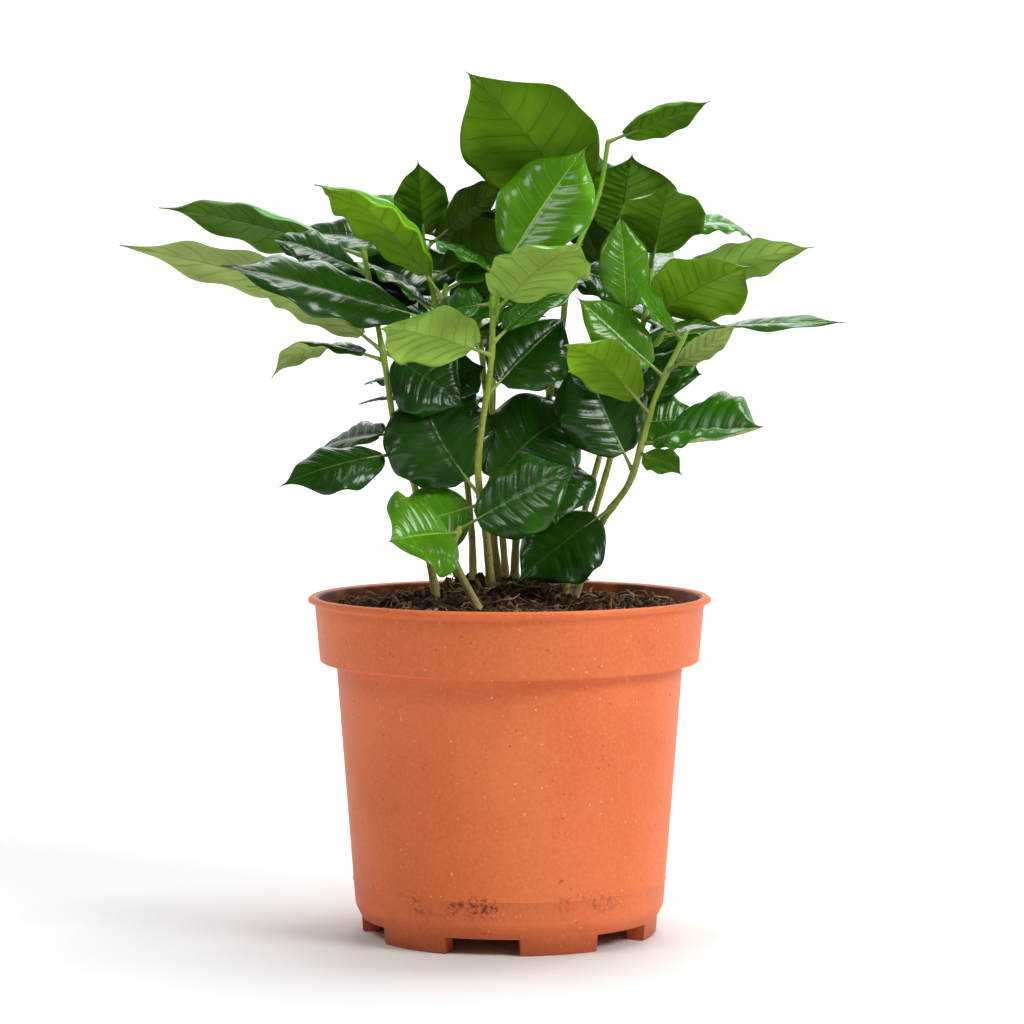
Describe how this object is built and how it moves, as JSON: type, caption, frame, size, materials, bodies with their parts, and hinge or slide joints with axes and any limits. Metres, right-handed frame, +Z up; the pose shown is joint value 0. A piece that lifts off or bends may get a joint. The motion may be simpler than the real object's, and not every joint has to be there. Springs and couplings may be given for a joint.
{
  "type": "potted coffee plant",
  "caption": "Clump of young coffee seedlings with glossy, wavy, drip-tipped leaves in a round terracotta-coloured nursery pot of peat.",
  "frame": {"origin": "middle of the whole plant's bounding box, on the floor the pot stands on; the pot's axis stands 7.7 mm to the right of it and 5.5 mm to the front", "axes": "+Z up, +X to the right seen from the front, +Y to the back"},
  "size_m": [0.2181, 0.132, 0.2577],
  "materials": {
    "pot": "matte moulded plastic, terracotta colour",
    "peat": "loose dark peat with fibres",
    "stem": "smooth young bark, yellow-green to tan",
    "leaf": "glossy above, matt and paler below"
  },
  "bodies": {
    "root": {"pot": "pot", "peat": "peat", "stem_front": "stem", "stem_low": "stem", "stem_left": "stem", "stem_left_mid": "stem", "stem_left_tall": "stem", "stem_mid": "stem", "stem_mid_tall": "stem", "stem_right_mid": "stem", "stem_right_tall": "stem", "stem_right_front": "stem", "stem_right_back": "stem", "stem_back_left": "stem", "stem_back_right": "stem", "crown_front": "leaf", "crown_low": "leaf", "crown_left": "leaf", "crown_left_mid": "leaf", "crown_left_tall": "leaf", "crown_mid": "leaf", "crown_mid_tall": "leaf", "crown_right_mid": "leaf", "crown_right_tall": "leaf", "crown_right_front": "leaf", "crown_right_back": "leaf", "crown_back_left": "leaf", "crown_back_right": "leaf"}
  },
  "joints": []
}
